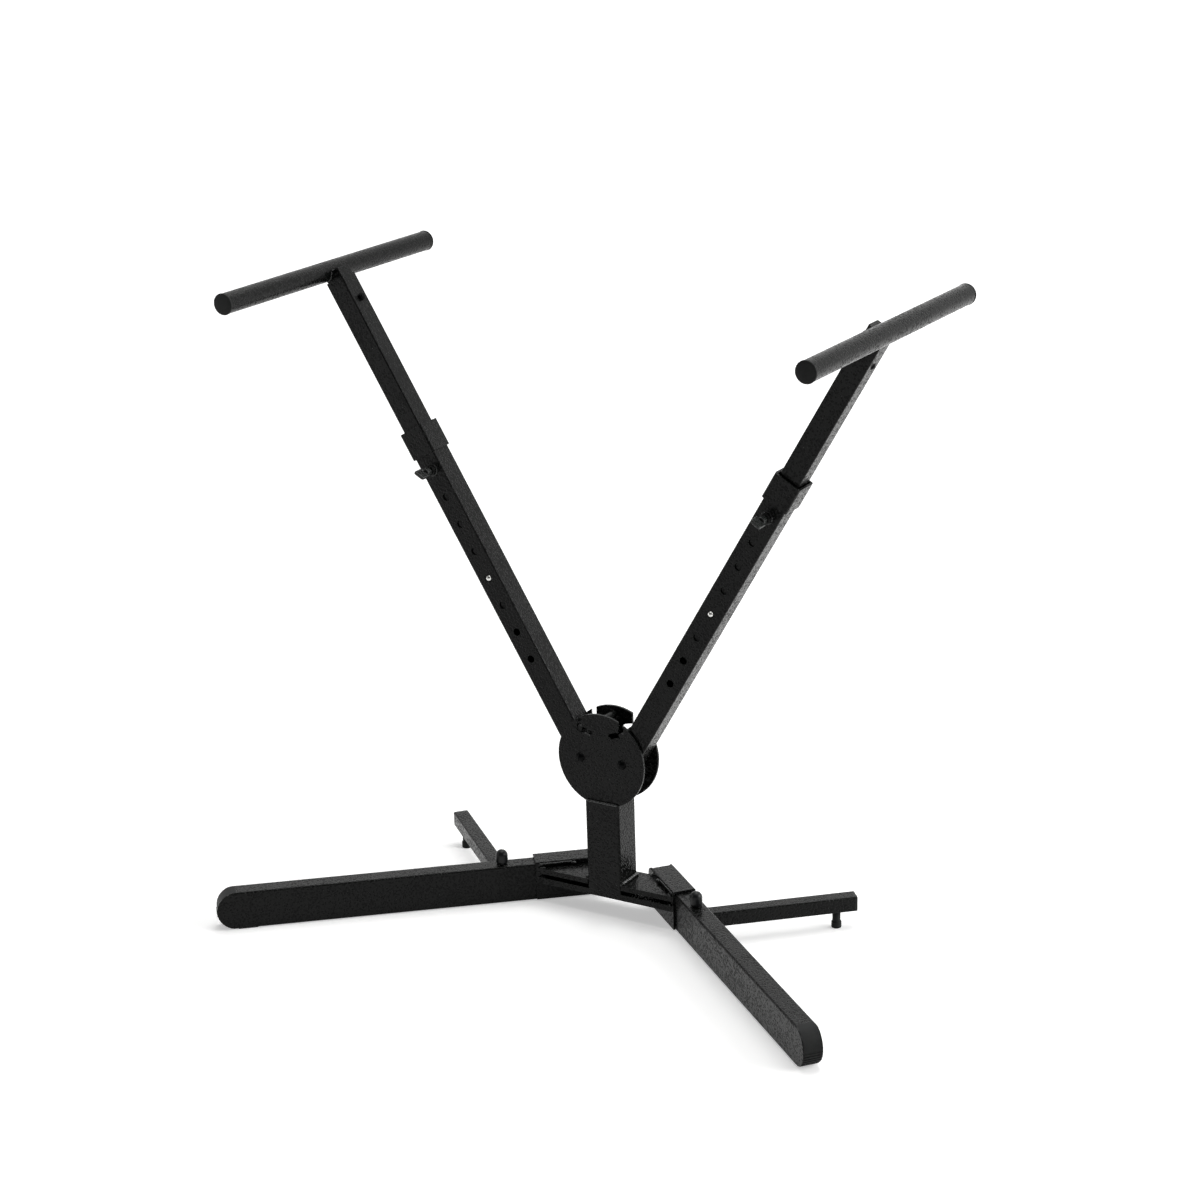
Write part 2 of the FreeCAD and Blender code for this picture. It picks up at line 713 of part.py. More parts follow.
def make_leg_end_cap():
    """A rubber end between the side walls, ribbed where it meets the floor."""
    half = leg_width / 2 - leg_wall - leg_cap_side_clearance
    centre_x, radius = leg_straight_end_from_apex, leg_height / 2
    face_x = centre_x - leg_cap_flat
    cap = rod(radius, vec(centre_x, -half, leg_middle_height), vec(centre_x, half, leg_middle_height))
    cap = cap.common(block(centre_x, centre_x + leg_height, -half, half, 0, leg_height * 2))
    inside_top = leg_top - leg_wall - leg_cap_side_clearance
    plug = block(face_x, centre_x, -half, half, floor_gap, inside_top)
    deep_plug = block(face_x - leg_cap_plug, face_x, -half, half,
                      floor_gap + leg_wall + leg_cap_side_clearance, inside_top)
    sole = block(face_x + leg_cap_side_clearance, centre_x, -half, half, 0, floor_gap)
    cap = cap.fuse(plug).fuse(deep_plug).fuse(sole)
    for i in range(leg_rib_count):
        share = i / (leg_rib_count - 1)
        a = math.radians(leg_rib_first_deg + (leg_rib_last_deg - leg_rib_first_deg) * share)
        rib = block(-leg_rib_width / 2, leg_rib_width / 2, -half, half, -radius - leg_rib_height,
                    -radius + leg_rib_width)
        rib.rotate(origin, axis_y, -math.degrees(a))
        rib.translate(vec(centre_x, 0, leg_middle_height))
        cap = cap.fuse(rib)
    return cap.removeSplitter()


def make_leg_bracket():
    """An inverted U of thick sheet; the inner corners of its walls are rounded past the web."""
    start, end = bracket_start_from_apex, bracket_end_from_apex
    outer = block(start, end, -bracket_outer_half, bracket_outer_half, bracket_floor_gap, bracket_top)
    bends = [e for e in outer.Edges if abs(e.tangentAt(e.FirstParameter).x) > parallel_cosine
             and abs(e.CenterOfMass.z - bracket_top) < bracket_wall / 2]
    outer = outer.makeFillet(bracket_bend_radius, bends)
    inner = block(start - cut_overrun, end + cut_overrun, -bracket_inner_half, bracket_inner_half,
                  0, bracket_web_bottom)
    radius = bracket_corner_radius
    web_gone = block(start - cut_overrun, start + radius, -bracket_inner_half, bracket_inner_half,
                     0, bracket_top + cut_overrun)
    shape = outer.cut(inner).cut(web_gone)
    for z_from, z_centre in ((bracket_floor_gap, bracket_floor_gap + radius),
                             (bracket_top - radius, bracket_top - radius)):
        corner = block(start - cut_overrun, start + radius, -leg_width, leg_width, z_from, z_from + radius)
        round_end = rod(radius, vec(start + radius, -leg_width, z_centre),
                        vec(start + radius, leg_width, z_centre))
        shape = shape.cut(corner.cut(round_end))
    pin_hole = rod(hinge_pin_radius + hinge_pin_hole_clearance,
                   vec(leg_hinge_from_apex, -leg_width, leg_middle_height),
                   vec(leg_hinge_from_apex, leg_width, leg_middle_height))
    return shape.cut(pin_hole)


def make_hinge_pin():
    """A pin across the bracket, flush on the plate side and headed on the rear side."""
    head_seat = vec(leg_hinge_from_apex, bracket_outer_half, leg_middle_height)
    flush_end = vec(leg_hinge_from_apex, -bracket_outer_half, leg_middle_height)
    pin = rod(hinge_pin_radius, flush_end, head_seat)
    return pin.fuse(dome(hinge_pin_head_radius, hinge_pin_head_thickness, head_seat, axis_y))


def make_rear_leg_stud():
    """A stud welded into the front leg's bottom wall; the clamp knob screws on its top."""
    top = leg_top + knob_seat_gap + knob_thread_depth
    return rod(stud_radius, vec(rear_pivot_from_apex, 0, floor_gap), vec(rear_pivot_from_apex, 0, top))


def make_rear_leg_spacers():
    """Two tubes on the stud that hold the rear leg at its height inside the front leg."""
    bore = stud_radius + barrel_running_clearance
    roof = leg_top - leg_wall
    spans = ((floor_gap + leg_wall, rear_leg_bottom - spacer_side_clearance),
             (rear_leg_top + spacer_side_clearance, roof - spacer_side_clearance))
    return [pipe(bore + barrel_wall, bore, vec(rear_pivot_from_apex, 0, low),
                 vec(rear_pivot_from_apex, 0, high)) for low, high in spans]


def make_clamp_knob():
    """A smooth domed knob with a narrower waist, threaded on the stud."""
    at = vec(rear_pivot_from_apex, 0, leg_top + knob_seat_gap)
    shoulder = knob_height - knob_radius
    knob = rod(knob_waist_radius, at, at + axis_z * (knob_waist_height + flat_gap))
    knob = knob.fuse(rod(knob_radius, at + axis_z * knob_waist_height, at + axis_z * shoulder))
    knob = knob.fuse(Part.makeSphere(knob_radius, at + axis_z * shoulder)).removeSplitter()
    bore_top = at + axis_z * (knob_thread_depth + nut_thread_clearance)
    return knob.cut(rod(stud_radius + nut_thread_clearance, at - axis_z * cut_overrun, bore_top))


# Rear legs
def make_rear_leg_tube():
    """A square tube with its pivot end rounded to turn inside the front leg."""
    half = rear_leg_size / 2
    end = rear_leg_length - rear_plug_face
    outside = square_bar(half, half, 0, end, rear_leg_corner)
    hollow = square_bar(half - rear_leg_wall, half - rear_leg_wall, -half - cut_overrun, end + cut_overrun,
                        rear_leg_corner - rear_leg_wall)
    outside.rotate(origin, axis_y, quarter_turn_deg)
    hollow.rotate(origin, axis_y, quarter_turn_deg)
    tube = outside.fuse(rod(half, -axis_z * half, axis_z * half)).cut(hollow)
    barrel_hole = stud_radius + barrel_running_clearance + barrel_wall + weld_gap
    tube = tube.cut(rod(barrel_hole, -axis_z * rear_leg_size, axis_z * rear_leg_size))
    tube.translate(vec(0, 0, rear_leg_bottom + half))
    stud_hole = rod(foot_stud_radius + foot_running_clearance,
                    vec(foot_from_pivot, 0, rear_leg_bottom - cut_overrun),
                    vec(foot_from_pivot, 0, rear_leg_bottom + half))
    return tube.cut(stud_hole)


def make_rear_leg_barrel():
    """The bearing tube welded through the rear leg at its pivot."""
    bore = stud_radius + barrel_running_clearance
    return pipe(bore + barrel_wall, bore, axis_z * rear_leg_bottom, axis_z * rear_leg_top)


def make_rear_leg_plug():
    face_from = rear_leg_length - rear_plug_face
    half = rear_leg_size / 2
    face = square_bar(half, half, face_from, rear_leg_length, rear_leg_corner)
    spigot_half = half - rear_leg_wall - rear_plug_clearance
    spigot = square_bar(spigot_half, spigot_half, face_from - rear_plug_spigot, face_from,
                        rear_leg_corner - rear_leg_wall)
    plug = face.fuse(spigot).removeSplitter()
    plug.rotate(origin, axis_y, quarter_turn_deg)
    plug.translate(vec(0, 0, rear_leg_bottom + half))
    return plug


def make_foot_nut():
    """The nut welded inside the rear leg that takes the foot's stud."""
    start = vec(foot_from_pivot, 0, rear_leg_bottom + rear_leg_wall)
    bore = rod(foot_stud_radius + foot_running_clearance, start - axis_z * cut_overrun,
               start + axis_z * (foot_nut_height + cut_overrun))
    return hexagon(foot_nut_across_flats, start, foot_nut_height, axis_z).cut(bore)


def make_rear_foot():
    """A round levelling foot: pad, neck and a stud that screws up into the rear leg."""
    at = vec(foot_from_pivot, 0, 0)
    pad = rod(foot_pad_radius, at, at + axis_z * foot_pad_height)
    rims = [e for e in pad.Edges if len(e.Vertexes) == 1]
    pad = pad.makeFillet(foot_pad_edge, rims)
    neck = rod(foot_neck_radius, at + axis_z * (foot_pad_height - foot_pad_edge),
               at + axis_z * foot_neck_top)
    stud = rod(foot_stud_radius, at + axis_z * (foot_neck_top - foot_pad_edge),
               at + axis_z * (foot_neck_top + foot_stud_length))
    return pad.fuse(neck).fuse(stud).removeSplitter()


def make_all():
    os.makedirs("parts", exist_ok=True)
    save("post", make_post())
    save("front_disc", make_disc(-disc_outer_face, -disc_inner_face))
    save("rear_disc", make_disc(disc_inner_face, disc_outer_face))
    spacer_z = pivot_height + spacer_above_pivot
    save("disc_spacer", rod(spacer_radius, vec(0, post_y - disc_inner_face, spacer_z),
                            vec(0, post_y + disc_inner_face, spacer_z)))
    bolt, nut = make_pivot_bolt(), make_pivot_nut()
    save("pivot_bolts", bolt, mirrored(bolt))
    save("pivot_nuts", nut, mirrored(nut))
    save("lower_base_plate", make_plate(lower_plate_bottom, lower_plate_top, False))
    upper_plate_top = upper_plate_bottom + upper_plate_thickness
    save("upper_base_plate", make_plate(upper_plate_bottom, upper_plate_top, True))
    save_pair("leg_bracket", on_leg, make_leg_bracket())
    pin = on_leg(make_hinge_pin())
    save("leg_hinge_pins", pin, mirrored(pin))

    save_pair("lower_tube", on_arm, make_lower_tube())
    save_pair("pivot_sleeve", on_arm, make_pivot_sleeve())
    save_pair("pivot_washers", on_arm, *make_pivot_washers())
    save_pair("stop_rod", on_arm, make_stop_rod())
    save_pair("collar", on_arm, make_collar())
    save_pair("clamp_boss", on_arm, make_clamp_boss())
    save("right_wing_screw", on_arm(make_wing_screw(right_wing_turn_deg)))
    save("left_wing_screw", mirrored(on_arm(make_wing_screw(left_wing_turn_deg))))

    save_pair("upper_tube", on_arm, make_upper_tube())
    save_pair("riser_plug", on_arm, make_riser_plug())
    save_pair("snap_button", on_arm, make_snap_button())
    save_pair("button_spring", on_arm, make_button_spring())
    save_pair("support", on_arm, make_support())
    save_pair("support_caps", on_arm, *make_support_caps())
    save_pair("support_bolt", on_arm, make_support_bolt(), make_support_nut())

    save_pair("front_leg", on_leg, make_leg_tube())
    save_pair("front_leg_cap", on_leg, make_leg_end_cap())
    save_pair("rear_leg_stud", on_leg, make_rear_leg_stud())
    save_pair("rear_leg_spacers", on_leg, *make_rear_leg_spacers())
    save_pair("clamp_knob", on_leg, make_clamp_knob())
    save_pair("rear_leg", on_rear_leg, make_rear_leg_tube())
    save_pair("rear_leg_barrel", on_rear_leg, make_rear_leg_barrel())
    save_pair("rear_leg_plug", on_rear_leg, make_rear_leg_plug())
    save_pair("foot_nut", on_rear_leg, make_foot_nut())
    save_pair("rear_foot", on_rear_leg, make_rear_foot())
    print(f"post middle Y {post_y:.3f}, apex Y {apex_y:.3f}, stop radius {stop_radius:.2f}")


make_all()
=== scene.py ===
# %% [markdown]
# A folding stand that carries a keyboard instrument on stage.
# Four legs splay out on the floor, a short square post rises from them, and two
# telescopic arms open in a V from a pair of round discs. Almost all of it is steel tube
# with a black powder coat; the rest is rubber, moulded plastic and a few plated parts.
# The engineering model gives every tube its true shape and place. This script adds the
# finishes, the weld seams, the small moulded pieces, the lights and the camera.

# %% Load the frame
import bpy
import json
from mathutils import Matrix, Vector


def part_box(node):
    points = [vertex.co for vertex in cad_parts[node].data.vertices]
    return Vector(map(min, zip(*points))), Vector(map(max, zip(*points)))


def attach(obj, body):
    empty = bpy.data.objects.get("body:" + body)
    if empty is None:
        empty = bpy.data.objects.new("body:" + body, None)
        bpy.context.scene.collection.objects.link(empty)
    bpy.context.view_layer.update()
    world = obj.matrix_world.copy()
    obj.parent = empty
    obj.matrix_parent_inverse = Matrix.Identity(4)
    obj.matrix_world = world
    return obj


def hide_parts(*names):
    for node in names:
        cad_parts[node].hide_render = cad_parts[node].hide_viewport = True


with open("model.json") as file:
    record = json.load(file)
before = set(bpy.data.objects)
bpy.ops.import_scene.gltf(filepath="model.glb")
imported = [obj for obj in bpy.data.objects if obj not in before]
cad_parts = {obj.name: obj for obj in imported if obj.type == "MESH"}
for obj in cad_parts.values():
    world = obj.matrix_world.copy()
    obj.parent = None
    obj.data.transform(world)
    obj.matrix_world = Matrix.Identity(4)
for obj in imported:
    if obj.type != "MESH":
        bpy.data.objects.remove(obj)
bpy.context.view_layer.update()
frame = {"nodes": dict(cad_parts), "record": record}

# %% [markdown]
# Everything below is in metres. A few numbers of the real stand are used again and again:
# where the arms pivot, how far they lean and where the legs start. They are the same
# numbers that the engineering model was built from.

# %% Places on the stand
import json
import math
import bmesh
import bpy
from mathutils import Matrix, Vector

MM = 0.001
post_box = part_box("post")
post_y = (post_box[0].y + post_box[1].y) / 2
pivot_z = 213 * MM
pivot_x = 30 * MM
arm_lean = math.radians(30.5)
leg_splay = math.radians(40)
apex_y = post_y + 82.8 * MM
rear_leg_turn = math.radians(81.5)
rear_pivot_u = 187 * MM
arm_top = 667 * MM


def arm_frame(side):
    """The arm's own axes: X outboard, Y to the back, Z up the arm. side is 1 right, -1 left."""
    mirror = Matrix.Diagonal((side, 1, 1, 1))
    return mirror @ Matrix.Translation((pivot_x, post_y, pivot_z)) @ Matrix.Rotation(arm_lean, 4, "Y")


def leg_frame(side):
    """The front leg's own axes: X along the leg, Y to its rear side, Z up."""
    mirror = Matrix.Diagonal((side, 1, 1, 1))
    return mirror @ Matrix.Translation((0, apex_y, 0)) @ Matrix.Rotation(-leg_splay, 4, "Z")


def rear_leg_frame(side):
    """The rear leg's own axes: X along it, with its pivot at the origin."""
    pivot = leg_frame(side) @ Matrix.Translation((rear_pivot_u, 0, 0))
    return pivot @ Matrix.Rotation(rear_leg_turn, 4, "Z")


def in_frame(axes, points_mm):
    """Points in millimetres of a frame's own axes, as places on the stand in metres."""
    return [axes @ (Vector(point) * MM) for point in points_mm]


print("post middle at Y", round(post_y, 4), "top of the arms at",
      [round(v, 3) for v in arm_frame(1) @ Vector((0, 0, arm_top))])

# %% [markdown]
# The camera stands where the photographer stood: in front and to the right, a little above
# the top of the arms, with a long lens. Its place was solved from straight edges and bolt
# centres. The picture is square and its middle isn't the lens's middle, so the
# camera has a small shift.

# %% Camera
camera_data = bpy.data.cameras.new("camera")
camera = bpy.data.objects.new("camera", camera_data)
bpy.context.scene.collection.objects.link(camera)
bpy.context.scene.camera = camera
focal_px = 2707.0
picture_px = 1200
sensor_mm = 36
camera_place = Vector((1.6397, post_y - 2.7082, 1.4876))
camera_data.sensor_fit = "HORIZONTAL"
camera_data.sensor_width = sensor_mm
camera_data.lens = sensor_mm * focal_px / picture_px
shift_right_px, shift_up_px = -140, 100
camera_data.shift_x = shift_right_px / picture_px
camera_data.shift_y = shift_up_px / picture_px
camera_data.clip_end = 50
yaw, pitch, roll = math.radians(28.187), math.radians(20.806), math.radians(-0.666)
forward = Vector((-math.sin(yaw) * math.cos(pitch), math.cos(yaw) * math.cos(pitch), -math.sin(pitch)))
level_right = Vector((math.cos(yaw), math.sin(yaw), 0))
level_up = level_right.cross(forward)
right = math.cos(roll) * level_right + math.sin(roll) * level_up
up = math.cos(roll) * level_up - math.sin(roll) * level_right
camera.matrix_world = Matrix((
    (right.x, up.x, -forward.x, camera_place.x),
    (right.y, up.y, -forward.y, camera_place.y),
    (right.z, up.z, -forward.z, camera_place.z),
    (0, 0, 0, 1)))
print("lens", round(camera_data.lens, 1), "mm at", [round(v, 3) for v in camera_place])

# %% [markdown]
# Colours are written as the hex values that a paint chart gives, and one function turns
# them to the linear values that Blender works with. A second small function adds a shader
# node with its settings and its links, which keeps every material short.

# %% Colour and node helpers


def hex_colour(code):
    """An sRGB hex colour as linear RGBA."""
    parts = [int(code[i:i + 2], 16) / 255 for i in (1, 3, 5)]
    return tuple(p / 12.92 if p <= 0.04045 else ((p + 0.055) / 1.055) ** 2.4 for p in parts) + (1,)


def add_node(tree, kind, settings=None, values=None, links=None):
    """One node with its settings, its socket values and the sockets that feed it."""
    node = tree.nodes.new(kind)
    for name, value in (settings or {}).items():
        setattr(node, name, value)
    for name, value in (values or {}).items():
        node.inputs[name].default_value = value
    for name, source in (links or {}).items():
        tree.links.new(source, node.inputs[name])
    return node


def new_material(name):
    """An empty node material: its tree, its shader, and coordinates in metres on the object."""
    material = bpy.data.materials.new(name)
    material.use_nodes = True
    tree = material.node_tree
    shader = tree.nodes["Principled BSDF"]
    metres = add_node(tree, "ShaderNodeTexCoord").outputs["Object"]
    return material, tree, shader, metres


print("a mid grey, #808080, is", round(hex_colour("#808080")[0], 3), "in linear light")

# %% [markdown]
# Powder coat is dry paint powder that is baked on steel. It flows out to a tough polyester
# skin. This one is textured: a smooth satin skin with fine dark pits about 1 mm apart. That
# would be finer than a pixel of the render, so the pits are drawn 3.2 mm apart. A Voronoi
# texture gives one round pit per cell, and a slow noise makes them denser in patches, as
# where the powder lay thinner. The polyester has an IOR near 1.5, but the dusty skin mirrors
# less than that. A Bevel node finds the sharp edges and makes them paler: partly handling
# wear, partly a painted highlight along the edges. An Ambient Occlusion node darkens the
# colour in gaps, slots and corners: this is painted shade.
# The risers' coat is smoother, weld seams keep a thin glossy one, and the thumb screws a
# glossy coat with hardly any pits.

# %% Powder-coated steel


def powder_coat(name, colour, wear_and_highlight_colour, pitch_mm, roughness, depth_mm, pit_level, mirror):
    """Black coat with pits pitch_mm apart. pit_level is how bright a pit is, mirror how much it mirrors."""
    material, tree, shader, metres = new_material(name)
    cells = add_node(tree, "ShaderNodeTexVoronoi", {}, {"Scale": 1 / (pitch_mm * MM)}, {"Vector": metres})
    cloud = add_node(tree, "ShaderNodeTexNoise", {}, {"Scale": 22, "Detail": 5, "Roughness": 0.6},
                     {"Vector": metres})
    thinner = add_node(tree, "ShaderNodeMapRange", {},
                       {"From Min": 0.3, "From Max": 0.7, "To Min": 0.12, "To Max": -0.12},
                       {"Value": cloud.outputs["Fac"]})
    reach = add_node(tree, "ShaderNodeMath", {"operation": "ADD"}, {},
                     {0: cells.outputs["Distance"], 1: thinner.outputs["Result"]})
    skin = add_node(tree, "ShaderNodeMapRange", {"interpolation_type": "SMOOTHSTEP"},
                    {"From Min": 0.3, "From Max": 0.55}, {"Value": reach.outputs[0]})
    level = add_node(tree, "ShaderNodeMapRange", {}, {"To Min": pit_level, "To Max": 1.12},
                     {"Value": skin.outputs["Result"]})
    patch = add_node(tree, "ShaderNodeMapRange", {},
                     {"From Min": 0.3, "From Max": 0.7, "To Min": 0.85, "To Max": 1.15},
                     {"Value": cloud.outputs["Fac"]})
    pitted = add_node(tree, "ShaderNodeMath", {"operation": "MULTIPLY"}, {},
                      {0: level.outputs["Result"], 1: patch.outputs["Result"]})
    # Painted shade: ambient occlusion darkens the base colour in gaps, slots and corners.
    painted_shade_ao = add_node(tree, "ShaderNodeAmbientOcclusion", {"samples": 6}, {"Distance": 10 * MM})
    painted_crevice_shade = add_node(tree, "ShaderNodeMapRange", {},
                       {"From Min": 0.3, "From Max": 0.8, "To Min": 0.05}, {"Value": painted_shade_ao.outputs["AO"]})
    pits_and_painted_shade = add_node(tree, "ShaderNodeMath", {"operation": "MULTIPLY"}, {},
                        {0: pitted.outputs[0], 1: painted_crevice_shade.outputs["Result"]})
    base = add_node(tree, "ShaderNodeVectorMath", {"operation": "SCALE"}, {0: hex_colour(colour)[:3]},
                    {"Scale": pits_and_painted_shade.outputs[0]})
    # Paler edges: partly handling wear, partly a painted highlight along the sharp edges.
    soft_edge = add_node(tree, "ShaderNodeBevel", {"samples": 6}, {"Radius": 1.0 * MM})
    flat = add_node(tree, "ShaderNodeNewGeometry")
    match = add_node(tree, "ShaderNodeVectorMath", {"operation": "DOT_PRODUCT"}, {},
                     {0: soft_edge.outputs["Normal"], 1: flat.outputs["Normal"]})
    edge = add_node(tree, "ShaderNodeMapRange", {},
                    {"From Min": 0.995, "From Max": 0.9, "To Max": 0.6},
                    {"Value": match.outputs["Value"]})
    rubbed_and_highlit = add_node(tree, "ShaderNodeMath", {"operation": "MULTIPLY", "use_clamp": True}, {},
                      {0: edge.outputs["Result"], 1: cloud.outputs["Fac"]})
    colour_mix = add_node(tree, "ShaderNodeMix", {"data_type": "RGBA"}, {"B": hex_colour(wear_and_highlight_colour)},
                          {"A": base.outputs["Vector"], "Factor": rubbed_and_highlit.outputs[0]})
    sheen = add_node(tree, "ShaderNodeMapRange", {}, {"To Min": roughness + 0.3, "To Max": roughness},
                     {"Value": skin.outputs["Result"]})
    bump = add_node(tree, "ShaderNodeBump", {}, {"Strength": 1.0, "Distance": depth_mm * MM},
                    {"Height": skin.outputs["Result"]})
    tree.links.new(colour_mix.outputs["Result"], shader.inputs["Base Color"])
    tree.links.new(sheen.outputs["Result"], shader.inputs["Roughness"])
    tree.links.new(bump.outputs["Normal"], shader.inputs["Normal"])
    shader.inputs["IOR"].default_value = 1.5
    shader.inputs["Specular IOR Level"].default_value = mirror
    return material


coat_textured = powder_coat("textured powder coat", "#0c0d0c", "#454847", 3.2, 0.18, 0.36, 0.1, 0.125)
coat_smooth = powder_coat("smooth powder coat", "#0a0b0a", "#3c3f3e", 3.4, 0.2, 0.16, 0.3, 0.125)
coat_seam = powder_coat("powder coat over weld", "#171918", "#5a5d5c", 2.6, 0.12, 0.03, 0.6, 0.5)
coat_glossy = powder_coat("glossy black coat", "#1d1f1e", "#5a5d5c", 2.6, 0.22, 0.02, 0.8, 0.35)
print("made", coat_textured.name, coat_smooth.name, coat_seam.name, coat_glossy.name)

# %% [markdown]
# The bolts, nuts and hinge pins are steel with a black oxide finish: a thin oiled skin,
# blacker than the powder coat, with a faint gloss that varies with the oil.

# %% Black oxide steel
black_oxide, tree, shader, metres = new_material("black oxide steel")
mottle = add_node(tree, "ShaderNodeTexNoise", {}, {"Scale": 260, "Detail": 4}, {"Vector": metres})
tint = add_node(tree, "ShaderNodeMix", {"data_type": "RGBA"},
                {"A": hex_colour("#030404"), "B": hex_colour("#08090a")}, {"Factor": mottle.outputs["Fac"]})
gloss = add_node(tree, "ShaderNodeMapRange", {}, {"To Min": 0.2, "To Max": 0.32},
                 {"Value": mottle.outputs["Fac"]})
tree.links.new(tint.outputs["Result"], shader.inputs["Base Color"])
tree.links.new(gloss.outputs["Result"], shader.inputs["Roughness"])
shader.inputs["Specular IOR Level"].default_value = 0.05
print("made", black_oxide.name)

# %% [markdown]
# The inner fittings are turned or cut, then zinc plated: a soft grey metal with cloudy
# patches. The snap buttons are nickel plated, bright and nearly smooth. The leaf springs
# are plain rolled spring steel.

# %% Plated metals


def plated_metal(name, dull, bright, roughness, cloud_mm):
    """A metal plating with soft cloudy patches, cloud_mm across."""
    material, tree, shader, metres = new_material(name)
    cloud = add_node(tree, "ShaderNodeTexNoise", {}, {"Scale": 1 / (cloud_mm * MM), "Detail": 5},
                     {"Vector": metres})
    colour = add_node(tree, "ShaderNodeMix", {"data_type": "RGBA"},
                      {"A": hex_colour(dull), "B": hex_colour(bright)}, {"Factor": cloud.outputs["Fac"]})
    gloss = add_node(tree, "ShaderNodeMapRange", {},
                     {"From Min": 0.3, "From Max": 0.7,
                      "To Min": roughness * 0.75, "To Max": roughness * 1.3},
                     {"Value": cloud.outputs["Fac"]})
    bump = add_node(tree, "ShaderNodeBump", {}, {"Strength": 0.4, "Distance": 0.05 * MM},
                    {"Height": cloud.outputs["Fac"]})
    tree.links.new(colour.outputs["Result"], shader.inputs["Base Color"])
    tree.links.new(gloss.outputs["Result"], shader.inputs["Roughness"])
    tree.links.new(bump.outputs["Normal"], shader.inputs["Normal"])
    shader.inputs["Metallic"].default_value = 1
    return material


zinc_plate = plated_metal("zinc plate", "#6f7272", "#a2a5a5", 0.38, 3)
nickel_plate = plated_metal("bright nickel plate", "#b9b9b6", "#dadad7", 0.12, 6)
spring_steel = plated_metal("rolled spring steel", "#606468", "#8c9094", 0.3, 1.5)
print("made", zinc_plate.name, nickel_plate.name, spring_steel.name)

# %% [markdown]
# Rubber and plastic. The end caps and feet are moulded EPDM rubber, matte with a dusty
# bloom. The knobs and plugs are moulded ABS, darker and a little glossier, with the fine
# spark-eroded grain of the mould. The washers are natural nylon, a warm translucent white.

# %% Moulded rubber and plastic


def moulded(name, colour, dusty_colour, roughness, grain_mm, grain_depth_mm, ior, mirror):
    """A moulded surface: a fine mould grain and a thin uneven bloom of dust."""
    material, tree, shader, metres = new_material(name)
    grain = add_node(tree, "ShaderNodeTexNoise", {}, {"Scale": 1 / (grain_mm * MM), "Detail": 2},
                     {"Vector": metres})
    bloom = add_node(tree, "ShaderNodeTexNoise", {}, {"Scale": 45, "Detail": 5, "Roughness": 0.65},
                     {"Vector": metres})
    thin = add_node(tree, "ShaderNodeMapRange", {}, {"From Min": 0.4, "From Max": 0.75, "To Max": 0.4},
                    {"Value": bloom.outputs["Fac"]})
    mixed = add_node(tree, "ShaderNodeMix", {"data_type": "RGBA"},
                     {"A": hex_colour(colour), "B": hex_colour(dusty_colour)},
                     {"Factor": thin.outputs["Result"]})
    gloss = add_node(tree, "ShaderNodeMapRange", {},
                     {"To Min": roughness - 0.05, "To Max": roughness + 0.07},
                     {"Value": bloom.outputs["Fac"]})
    bump = add_node(tree, "ShaderNodeBump", {}, {"Strength": 0.6, "Distance": grain_depth_mm * MM},
                    {"Height": grain.outputs["Fac"]})
    tree.links.new(mixed.outputs["Result"], shader.inputs["Base Color"])
    tree.links.new(gloss.outputs["Result"], shader.inputs["Roughness"])
    tree.links.new(bump.outputs["Normal"], shader.inputs["Normal"])
    shader.inputs["IOR"].default_value = ior
    shader.inputs["Specular IOR Level"].default_value = mirror
    return material


rubber = moulded("moulded EPDM rubber", "#131414", "#2b2c2b", 0.55, 0.7, 0.05, 1.52, 0.15)
abs_black = moulded("moulded black ABS", "#101112", "#1f2021", 0.3, 0.5, 0.02, 1.54, 0.18)
nylon = moulded("natural nylon", "#d9d5c6", "#c9c4b4", 0.45, 0.8, 0.02, 1.53, 0.5)
print("made", rubber.name, abs_black.name, nylon.name)

# %% [markdown]
# Each piece of the engineering model gets its finish. The record names a material slot for
# every node, so the slots lead to the materials. The risers, the support tubes and the
# rods have the smoother coat.

# %% Finishes of the CAD pieces
finish_of_slot = {
    "powder_coat": coat_textured,
    "black_bolt": black_oxide,
    "zinc_plate": zinc_plate,
    "chrome_plate": nickel_plate,
    "spring_steel": spring_steel,
    "black_rubber": rubber,
    "black_plastic": abs_black,
    "nylon": nylon,
}
smooth_nodes = ("upper_tube", "support", "stop_rod", "disc_spacer")
for part in frame["record"]["subparts"]:
    cad_object = frame["nodes"][part["node"]]
    finish = finish_of_slot[part["material_slot"]]
    if part["node"].split("_", 1)[-1] in smooth_nodes or part["node"] in smooth_nodes:
        finish = coat_smooth
    cad_object.data.materials.clear()
    cad_object.data.materials.append(finish)

# %% [markdown]
# The small pieces that follow are built as meshes of their own. Each is made once in its
# own axes, in millimetres, then moved to its place and, for the left half, mirrored. A
# mirrored mesh has its faces inside out, so they are turned back.

# %% A helper that places a finished piece


def add_piece(name, shape, place, finish, body, replaced=(), rounding=0):
    """Turns a bmesh in millimetres into an object that rides on a body."""
    bmesh.ops.scale(shape, vec=(MM, MM, MM), verts=shape.verts)
    bmesh.ops.transform(shape, matrix=place, verts=shape.verts)
    if place.determinant() < 0:
        bmesh.ops.reverse_faces(shape, faces=shape.faces)
    mesh = bpy.data.meshes.new(name)
    shape.to_mesh(mesh)
    shape.free()
    piece = bpy.data.objects.new(name, mesh)
    bpy.context.scene.collection.objects.link(piece)
    mesh.materials.append(finish)
    mesh.shade_smooth()
    mesh.set_sharp_from_angle(angle=math.radians(50))
    if rounding:
        smoother = piece.modifiers.new("rounding", "SUBSURF")
        smoother.levels = smoother.render_levels = rounding
    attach(piece, body)
    if replaced:
        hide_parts(*replaced)


SIDES = (("right", 1), ("left", -1))
print("pieces are made for", [name for name, side in SIDES])

# %% [markdown]
# A weld seam is a row of small overlapping puddles, each one a crescent that froze as the
# torch moved on. The mesh is a tube swept along the joint. Its thickness swells once for
# each puddle, and its sides lag behind its crest, which bends each ripple to a crescent.
# The powder coat covers the seams too, and it runs thin and glossy on them.

# %% Weld seams


